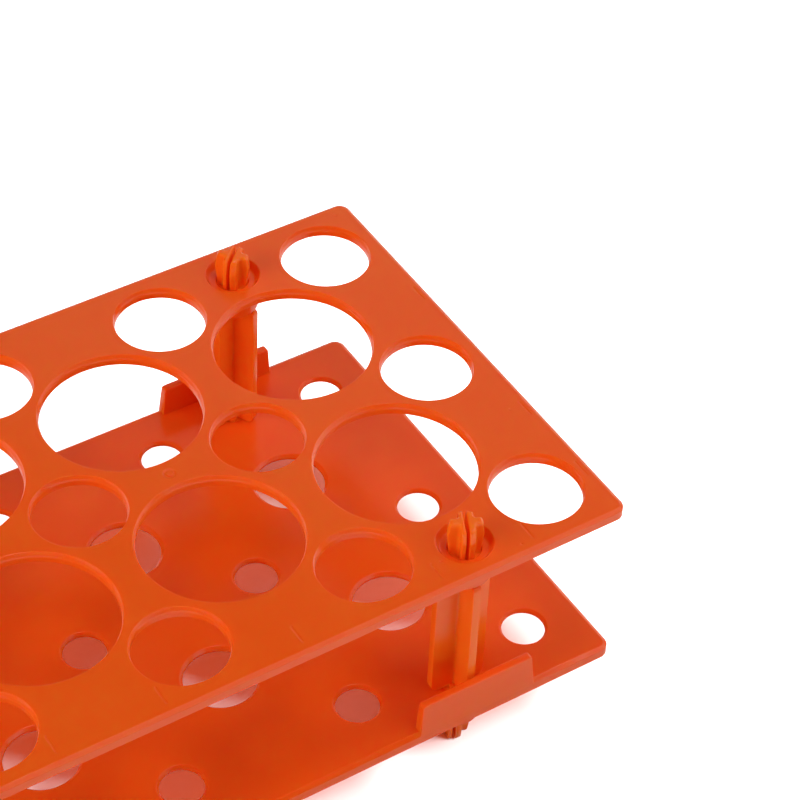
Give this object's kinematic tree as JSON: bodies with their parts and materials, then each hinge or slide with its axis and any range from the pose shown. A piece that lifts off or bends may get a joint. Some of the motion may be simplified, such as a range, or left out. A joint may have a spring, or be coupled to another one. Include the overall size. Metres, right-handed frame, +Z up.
{
  "type": "centrifuge tube rack",
  "caption": "Two-tier moulded rack: a perforated top plate over a lower plate with tip holes, held apart by snap-in posts, for conical centrifuge tubes of two sizes.",
  "frame": {"origin": "middle of the rack's footprint, on the plane that its four feet stand on", "axes": "+X along the rack's length, +Y across it, +Z up through the tube positions"},
  "size_m": [0.2086, 0.0988, 0.0567],
  "materials": {
    "plate_plastic": "satin moulded polypropylene, slightly translucent orange",
    "post_plastic": "satin moulded polypropylene, slightly translucent orange"
  },
  "bodies": {
    "root": {"top_plate": "plate_plastic", "lower_plate": "plate_plastic", "post_front_right": "post_plastic", "post_back_right": "post_plastic", "post_front_left": "post_plastic", "post_back_left": "post_plastic"}
  },
  "joints": []
}
